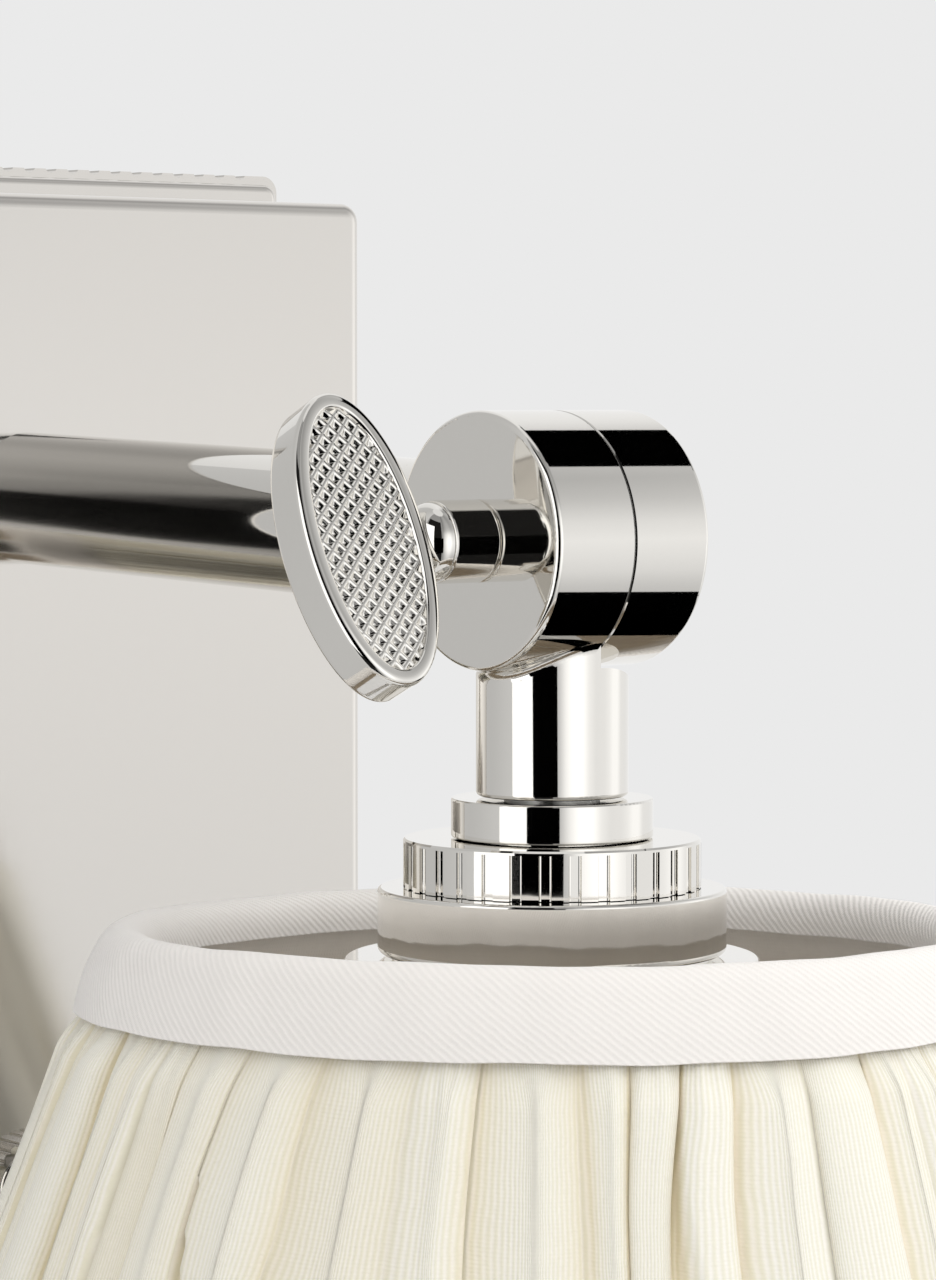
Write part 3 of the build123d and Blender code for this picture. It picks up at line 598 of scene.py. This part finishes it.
def cover_row(plan, fold, u, s):
    """One row of the cover, s from 0 at the top to 1 at the foot: its points and how deep each one lies, for
    the painted crease shade.
    """
    high, low = cover_high - 0.3, cover_low + 0.3
    height = high + (low - high) * s
    below_tape = (tape_high - TAPE_HEIGHT - height) / (cover_high - cover_low)
    out = float(smooth_step(-0.01, 0.05, below_tape))
    ease = 0.35 + 0.65 * out
    end_draw = float(smooth_step(0.90, 0.99, s))
    # Where each fold runs, and how wide it is here.
    wander = soft_at(plan.drift, s) * 0.0034 * (0.25 + 1.9 * s) * (1 - 0.55 * s)
    wander = wander + plan.slants * 1.6 * (1 - math.exp(-s / 0.2))
    valley = plan.edges + wander
    following = np.concatenate([valley[1:], valley[:1] + 1])
    span = np.maximum(following - valley, 0.35 / FOLDS)
    breadth = span[fold] * 2 * np.pi * cover_radius(height)
    # The rounded body of each fold, over valleys of unequal depth.
    swelling = np.clip(plan.plump * (1 + 0.28 * soft_at(plan.swell, s)), 0.35, 1.6)[fold]
    body = np.sin(np.pi * u) ** 0.55
    depth = ease * np.clip(0.30 * breadth, 0.55, 1.9) * swelling
    shallow = 1 - plan.valley_depth
    valley_base = 0.75 * depth * (shallow[fold] * (1 - u) + np.roll(shallow, -1)[fold] * u)
    relief = depth * body + valley_base * (1 - body)
    # Small tucks just under the tape, and the pockets that open further down.
    tuck = math.exp(-max(below_tape, 0) * 9)
    tucks = np.sin(2 * np.pi * u * plan.tuck_count[fold] + plan.tuck_phase[fold])
    relief += 0.16 * tuck * tucks * np.sin(np.pi * u)
    opening = plan.pocket[fold] * plan.pocket_wide[fold] * smooth_step(0, 0.42, s - plan.pocket_start[fold])
    inside = np.where(opening > 0.002, np.clip(1 - u / np.maximum(opening, 0.002), 0, 1), 0)
    relief -= (0.9 + 0.5 * depth) * smooth_step(0, 0.5, inside) * (opening > 0.002)
    # The cloth bulges out from under the tape and is drawn in at the foot.
    puff = 1.0 * out * math.exp(-(max(below_tape - 0.045, 0) / 0.28) ** 1.5) + 0.55 * out
    crest = cover_radius(height) + (puff - 0.25) * (1 - end_draw) - 0.45 * end_draw
    top = np.clip(0.30 * breadth, 0.55, 1.9) * ease * 1.05
    radius = np.maximum(crest - top + relief * (1 - 0.55 * end_draw), cover_radius(height) - 1.9)
    lapping = plan.lap[fold] * ease * (1 - 0.5 * end_draw) * 0.155 * breadth * np.sin(2 * np.pi * u)
    lean = 0.10 * breadth * plan.lap[fold] * ease * (body - 0.5)
    angle = 2 * np.pi * (valley[fold] + span[fold] * u) + (lapping + lean) / radius
    return shade_point(radius, angle, height), np.clip(1 - relief / np.maximum(top, 0.3), 0, 1.3)


def gathers():
    """The pleated cover: irregular soft folds that fan out from the tape, some lapped or pocketed."""
    plan = plan_folds(np.random.default_rng(FOLD_SEED))
    columns = FOLDS * POINTS_PER_FOLD
    fold = np.arange(columns) // POINTS_PER_FOLD
    u = (np.arange(columns) % POINTS_PER_FOLD) / POINTS_PER_FOLD
    cloth_round = FULLNESS * 2 * math.pi * cover_end_r
    following = np.concatenate([plan.edges[1:], [1.0]])
    along = (plan.edges[fold] + (following - plan.edges)[fold] * u) * cloth_round
    points, painted_crease_shade, uv = [], [], []
    for s in np.linspace(0, 1, COVER_ROWS) ** 1.25:
        row, depth = cover_row(plan, fold, u, s)
        points.append(row)
        painted_crease_shade.append(depth)
        uv.append(np.stack([along, np.full(columns, s * CLOTH_TALL)], -1))
    faces = grid_faces(COVER_ROWS, columns, closed_round=True)
    piece = mesh_object("shade_gathers", np.concatenate(points), faces, uv=np.concatenate(uv))
    # How deep each point lies, kept for the material's painted crease shade.
    add_attribute(piece, "painted_crease_shade", np.concatenate(painted_crease_shade))
    fix_seam(piece, cloth_round)
    piece.data.materials.append(cream_cotton)
    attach(piece, "head")
    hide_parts("shade_cover")
    return piece, cloth_round


def fix_seam(piece, round_length):
    """Cloth coordinates run on past the join instead of jumping back to nought."""
    mesh = piece.data
    data = np.empty(len(mesh.loops) * 2, dtype=np.float32)
    layer = mesh.uv_layers["cloth"]
    layer.data.foreach_get("uv", data)
    data = data.reshape(-1, 4, 2)
    span = data[:, :, 0].max(1) - data[:, :, 0].min(1)
    for face in np.nonzero(span > round_length / 2)[0]:
        row = data[face]
        row[row[:, 0] < round_length / 2, 0] += round_length
    layer.data.foreach_set("uv", data.ravel())


def lining():
    """The inner lining, a little slack between the struts."""
    rng = np.random.default_rng(5)
    rows, columns = 60, 480
    angle = np.arange(columns) / columns * 2 * np.pi
    phase = rng.uniform(0, 2 * np.pi, 8)
    low, high = height_mm("shade_lining")
    length = 2 * math.pi * (cover_radius(high) + cover_radius(low)) / 2
    points, uv = [], []
    for s in np.linspace(0, 1, rows):
        height = high - 0.4 + (low - high + 0.8) * s
        sag = 0.35 * np.sin(math.pi * s) * np.cos(6 * (angle - math.radians(30)))
        soft = 0
        for i, n in enumerate((5, 9, 14, 23, 31)):
            drift = 2.5 * s * math.cos(phase[i]) + 0.8 * np.sin(3 * s + phase[-i])
            soft = soft + 0.16 * np.sin(n * angle + phase[i] + drift)
        pinch = 0.30 * math.exp(-s * 12) * np.sin(41 * angle + 2 * np.sin(5 * angle))
        free = float(smooth_step(0.02, 0.16, s) * (1 - smooth_step(0.84, 0.95, s)))
        waves = (sag * 0.6 + soft + pinch) * (0.1 + 0.9 * free)
        radius = cover_radius(height) - LINING_INSET - 0.6 * free + waves
        points.append(shade_point(radius, angle, height))
        uv.append(np.stack([angle / (2 * np.pi) * length, np.full(columns, s * CLOTH_TALL)], -1))
    faces = grid_faces(rows, columns, closed_round=True)
    piece = mesh_object("shade_lining_cloth", np.concatenate(points), faces, uv=np.concatenate(uv))
    fix_seam(piece, length)
    piece.data.materials.append(lining_cotton)
    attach(piece, "head")
    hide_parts("shade_lining")
    return piece


def smooth_line(knots, steps):
    """A smooth curve through the knots, with this many steps from each to the next."""
    line = []
    for i in range(len(knots) - 1):
        a, b = knots[i], knots[i + 1]
        way_out = (b - knots[max(i - 1, 0)]) / 2
        way_in = (knots[min(i + 2, len(knots) - 1)] - a) / 2
        for k in range(steps):
            t = k / steps
            t2, t3 = t * t, t * t * t
            near = (2 * t3 - 3 * t2 + 1) * a + (t3 - 2 * t2 + t) * way_out
            line.append(near + (3 * t2 - 2 * t3) * b + (t3 - t2) * way_in)
    line.append(knots[-1])
    return np.array(line)


def tape(name, stands_for, edge, inward, seed):
    """A soft tape folded over an edge of the shade; inward is -1 for the top edge and 1 for the foot."""
    rng = np.random.default_rng(seed)
    columns = 720
    angle = np.arange(columns) / columns * 2 * np.pi
    phase = rng.uniform(0, 2 * np.pi, 20)

    def waver(scale, counts, first):
        return sum(scale / (1 + 0.15 * n) * np.sin(n * angle + phase[first + n % 5]) for n in counts)

    lower_wave = waver(0.16, (3, 7, 12, 19, 33), 0)
    top_wave = waver(0.22, (2, 5, 11, 17, 29), 5)
    puff = waver(0.30, (4, 9, 15, 26, 43), 10)
    base = cover_radius(edge + inward * 9.4) if inward < 0 else cover_radius(edge)
    profile = TOP_TAPE_PROFILE if inward < 0 else END_TAPE_PROFILE
    line = smooth_line(np.array(profile, dtype=float), 6)
    side = np.gradient(line, axis=0)
    side /= np.hypot(side[:, 0], side[:, 1])[:, None]
    through = np.stack([side[:, 1], -side[:, 0]], -1) * inward
    reached = np.concatenate([[0], np.cumsum(np.hypot(*np.diff(line, axis=0).T))])
    total = reached[-1]
    rows, uv = [], []
    length = 2 * math.pi * base
    outside = [(i, 0) for i in range(len(line))]
    for i, skin in outside + [(i, 1) for i, _ in reversed(outside)]:
        r_off, depth = line[i] + skin * TAPE_THICK * through[i]
        loose = max(0.0, 1 - reached[i] / 6)
        inner = smooth_step(total - 4, total, reached[i])
        bulge = puff * (0.35 + 0.4 * math.sin(math.pi * min(1, reached[i] / 9)))
        wave = lower_wave * loose ** 2 + top_wave * (1 - loose) * 0.6 + lower_wave * 0.5 * inner
        rows.append(shade_point(base + r_off + bulge, angle, edge + inward * depth + wave))
        uv.append(np.stack([angle / (2 * np.pi) * length, np.full(columns, reached[i])], -1))
    faces = grid_faces(len(rows), columns, closed_round=True, closed_rows=True)
    piece = mesh_object(name, np.concatenate(rows), faces, uv=np.concatenate(uv))
    fix_seam(piece, length)
    tidy_normals(piece)
    piece.data.materials.append(tape_cotton)
    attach(piece, "head")
    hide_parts(stands_for)
    return piece


# Outside of each tape in millimetres, from its outer free edge over the fold to its inner one:
# offset from the shade's radius where the tape starts, then depth from the shade's edge.
TOP_TAPE_PROFILE = (
    (0.15, 8.3), (-0.05, 7.6), (-0.50, 6.0), (-1.05, 4.5), (-1.72, 3.0), (-2.42, 1.6), (-3.15, 0.6),
    (-4.0, 0.03), (-5.0, 0.0), (-6.1, 0.4), (-6.9, 1.2), (-7.3, 2.4), (-7.25, 3.9),
)
END_TAPE_PROFILE = (
    (-3.0, 9.4), (-2.6, 8.5), (-1.9, 6.5), (-1.1, 4.4), (-0.35, 2.2), (-0.1, 1.0), (-0.5, 0.2),
    (-1.8, -0.05), (-3.6, 0.1), (-4.5, 1.0), (-5.0, 2.4), (-5.6, 4.0), (-6.3, 5.6),
)


def top_ring():
    """The frame's top wire, following the slanting rim inside the tape's fold."""
    low, high = height_mm("frame_top_ring")
    wire = (high - low) / 2 * 0.8
    middle = size_mm("frame_top_ring")[0] / 2 - wire
    columns, around = 180, 16
    angle = np.arange(columns) / columns * 2 * np.pi
    rows = [
        shade_point(middle + wire * math.cos(a), angle, (low + high) / 2 + wire * math.sin(a))
        for a in np.arange(around) / around * 2 * np.pi
    ]
    faces = grid_faces(around, columns, closed_round=True, closed_rows=True)
    piece = mesh_object("shade_top_wire", np.concatenate(rows), faces)
    tidy_normals(piece)
    piece.data.materials.append(SLOT_LOOKS[TOP_WIRE_SLOT])
    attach(piece, "head")
    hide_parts("frame_top_ring")


TOP_WIRE_SLOT = next(
    s["material_slot"] for s in frame["record"]["subparts"] if s["node"] == "frame_top_ring"
)
top_ring()
shade_cloth, cloth_width = gathers()
lining()
top_edge = tape("shade_top_tape", "top_tape", tape_high, -1, 3)
end_edge = tape("shade_end_tape", "end_tape", height_mm("end_tape")[0], 1, 8)


# ------------------------------------------------------------------ studio
SKY_STEP = 2.5
BACKGROUND = 0.823
FLOOR_RADIUS, FLOOR_Z = 0.3, -0.36
# Corners of the flat black cards, in metres from the joint.
BAR_ABOVE = (
    (0.010, -0.0262, 0.050), (0.066, -0.0285, 0.050), (0.066, 0.0104, 0.050), (0.010, 0.0120, 0.050),
)
BAR_BELOW = (
    (0.010, -0.0422, -0.0317), (0.056, -0.0383, -0.0387),
    (0.050, -0.0019, -0.0341), (0.004, -0.0091, -0.0275),
)
FLAG = (
    (-0.055, 0.0845, -0.010), (0.055, 0.0845, -0.010), (0.055, 0.0845, -0.115), (-0.055, 0.0845, -0.115),
)
# Brightness of the room in front of and beside the lamp, by azimuth in degrees, and how it falls away
# above and below the joint's level.
ROOM_AZIMUTHS = (-31, -26, -19, -12, -6, 6, 18, 30, 46, 56, 64, 76, 86, 104, 141, 180)
ROOM_GLOW = (0.62, 0.82, 1.12, 1.30, 1.42, 1.40, 1.08, 0.95, 0.97, 1.06, 1.20, 1.20, 0.96, 0.92, 0.92, 0.80)
ROOM_ABOVE = ((0, 12, 27, 40, 60, 75), (1.0, 0.90, 0.66, 0.50, 0.42, 0.40))
ROOM_BELOW = ((0, 12, 21, 32, 45, 70), (1.0, 0.92, 0.84, 0.64, 0.50, 0.42))
CAMERA_FROM_JOINT = (-0.29864, -0.36157, 0.01501)
CAMERA_AZIMUTH, CAMERA_PITCH = math.radians(-38.48), math.radians(3.12)
CAMERA_LENS = 126.4


def in_direction(azimuth, elevation, radius):
    """A point seen from the joint at an azimuth (nought is straight out from the wall) and an elevation."""
    a, e = math.radians(azimuth), math.radians(elevation)
    return (
        joint[0] + radius * math.sin(a) * math.cos(e),
        joint[1] - radius * math.cos(a) * math.cos(e),
        joint[2] + radius * math.sin(e),
    )


def sky_card(name, azimuths, elevations, radius, glow):
    """Part of a dome round the lamp that only reflections and soft light see."""
    wide = round((azimuths[1] - azimuths[0]) / SKY_STEP) + 1
    tall = round((elevations[1] - elevations[0]) / SKY_STEP) + 1
    points, values = [], []
    for e in np.linspace(*elevations, tall):
        for a in np.linspace(*azimuths, wide):
            points.append(in_direction(a, e, radius))
            values.append(glow(a, e) if callable(glow) else glow)
    return stage_card(name, points, grid_faces(tall, wide), values)


def black_card(name, corners, one_sided=False):
    """A flat black card from four corners in metres from the joint."""
    points = [(joint[0] + x, joint[1] + y, joint[2] + z) for x, y, z in corners]
    return stage_card(name, points, [(0, 1, 2, 3)], [0.0] * 4, one_sided=one_sided)


def stage_card(name, points, faces, values, one_sided=False):
    """A card of light (or darkness) that the camera itself does not see."""
    card = mesh_object(name, points, faces, smooth=False)
    add_attribute(card, "glow", values)
    material = bpy.data.materials.new(name)
    material.use_nodes = True
    tree = material.node_tree
    tree.nodes.clear()
    out = tree.nodes.new("ShaderNodeOutputMaterial")
    light = tree.nodes.new("ShaderNodeEmission")
    light.inputs["Color"].default_value = (1, 1, 1, 1)
    reader = tree.nodes.new("ShaderNodeAttribute")
    reader.attribute_name = "glow"
    tree.links.new(reader.outputs["Fac"], light.inputs["Strength"])
    surface = light.outputs["Emission"]
    if one_sided:
        mix = tree.nodes.new("ShaderNodeMixShader")
        behind = tree.nodes.new("ShaderNodeNewGeometry").outputs["Backfacing"]
        clear = tree.nodes.new("ShaderNodeBsdfTransparent").outputs["BSDF"]
        tree.links.new(behind, mix.inputs["Fac"])
        tree.links.new(surface, mix.inputs[1])
        tree.links.new(clear, mix.inputs[2])
        surface = mix.outputs["Shader"]
    tree.links.new(surface, out.inputs["Surface"])
    card.data.materials.append(material)
    card.visible_camera = False
    card.visible_shadow = False
    return card


def front_sky(azimuth, elevation):
    """Brightness of the room in front of and beside the lamp; it evens out towards the wall."""
    around = np.interp(azimuth, ROOM_AZIMUTHS, ROOM_GLOW)
    upper_front = float(smooth_step(20, 34, elevation)) * float(smooth_step(60, 20, abs(azimuth + 10)))
    if elevation > 0:
        level = np.interp(elevation, *ROOM_ABOVE) * (1 - 0.28 * upper_front)
    else:
        level = np.interp(-elevation, *ROOM_BELOW)
    fade = float(smooth_step(90, 135, azimuth))
    return float(around * (level * (1 - fade) + fade))


def left_sky(azimuth, elevation):
    """The even room behind the lamp's left, the same at every elevation."""
    return float(0.61 + 0.05 * np.sin(math.radians(azimuth * 3)))


def fill_light(azimuth, elevation):
    """Extra soft light for the fabric, stronger from the lamp's right."""
    return float(1.20 + 0.35 * smooth_step(-60, 60, azimuth))


def build_studio():
    """A plain bright room: glowing cards, black cards for the dark reflections and a pale floor."""
    scene = bpy.context.scene
    world = bpy.data.worlds.new("studio")
    scene.world = world
    world.use_nodes = True
    background = world.node_tree.nodes["Background"]
    background.inputs["Color"].default_value = (BACKGROUND, BACKGROUND, BACKGROUND, 1)
    background.inputs["Strength"].default_value = 1.0
    scene.view_settings.view_transform = "Standard"
    sky_card("room_front", (-31, 180), (-75, 75), 0.80, front_sky)
    sky_card("room_left", (-180, -100), (-75, 75), 0.80, left_sky)
    sky_card("room_dim", (-100, -31), (-75, 75), 0.81, 0.32)
    dark = [
        sky_card("drape", (-68, -31), (-27, 11), 0.70, 0.0),
        sky_card("drape_sides", (-95, -38), (-56, 54), 0.72, 0.012),
        black_card("bar_above", BAR_ABOVE),
        black_card("bar_below", BAR_BELOW, one_sided=True),
    ]
    for card in dark:
        card.visible_diffuse = False
    sky_card("strip_left", (-101, -68), (-30, 38), 0.69, 1.40)
    for card in (sky_card("fill", (-60, 110), (0, 70), 0.60, fill_light), black_card("flag", FLAG)):
        card.visible_glossy = False
    build_floor()


def build_floor():
    """A pale round floor below the lamp."""
    edge = [
        (joint[0] + FLOOR_RADIUS * math.cos(a), joint[1] + FLOOR_RADIUS * math.sin(a), FLOOR_Z)
        for a in np.linspace(0, 2 * np.pi, 48, endpoint=False)
    ]
    floor = mesh_object("floor", edge, [range(len(edge))], smooth=False)
    pale, tree, shader = new_material("pale_floor", Roughness=0.9)
    patchy = mix_colour(tree, noise_of(tree, 40, 3), (0.84, 0.84, 0.84), (0.80, 0.80, 0.80))
    tree.links.new(patchy, shader.inputs["Base Color"])
    floor.data.materials.append(pale)


def build_camera():
    """The photograph's view: 0.47 m from the joint, from the key's side, looking slightly down."""
    camera = bpy.data.cameras.new("camera")
    camera.sensor_fit = "AUTO"
    camera.sensor_width = 36
    camera.lens = CAMERA_LENS
    thing = bpy.data.objects.new("camera", camera)
    bpy.context.scene.collection.objects.link(thing)
    thing.location = joint + Vector(CAMERA_FROM_JOINT)
    level_way = Vector((-math.sin(CAMERA_AZIMUTH), math.cos(CAMERA_AZIMUTH), -math.tan(CAMERA_PITCH)))
    thing.rotation_mode = "QUATERNION"
    thing.rotation_quaternion = level_way.to_track_quat("-Z", "Y")
    bpy.context.scene.camera = thing


build_studio()
build_camera()
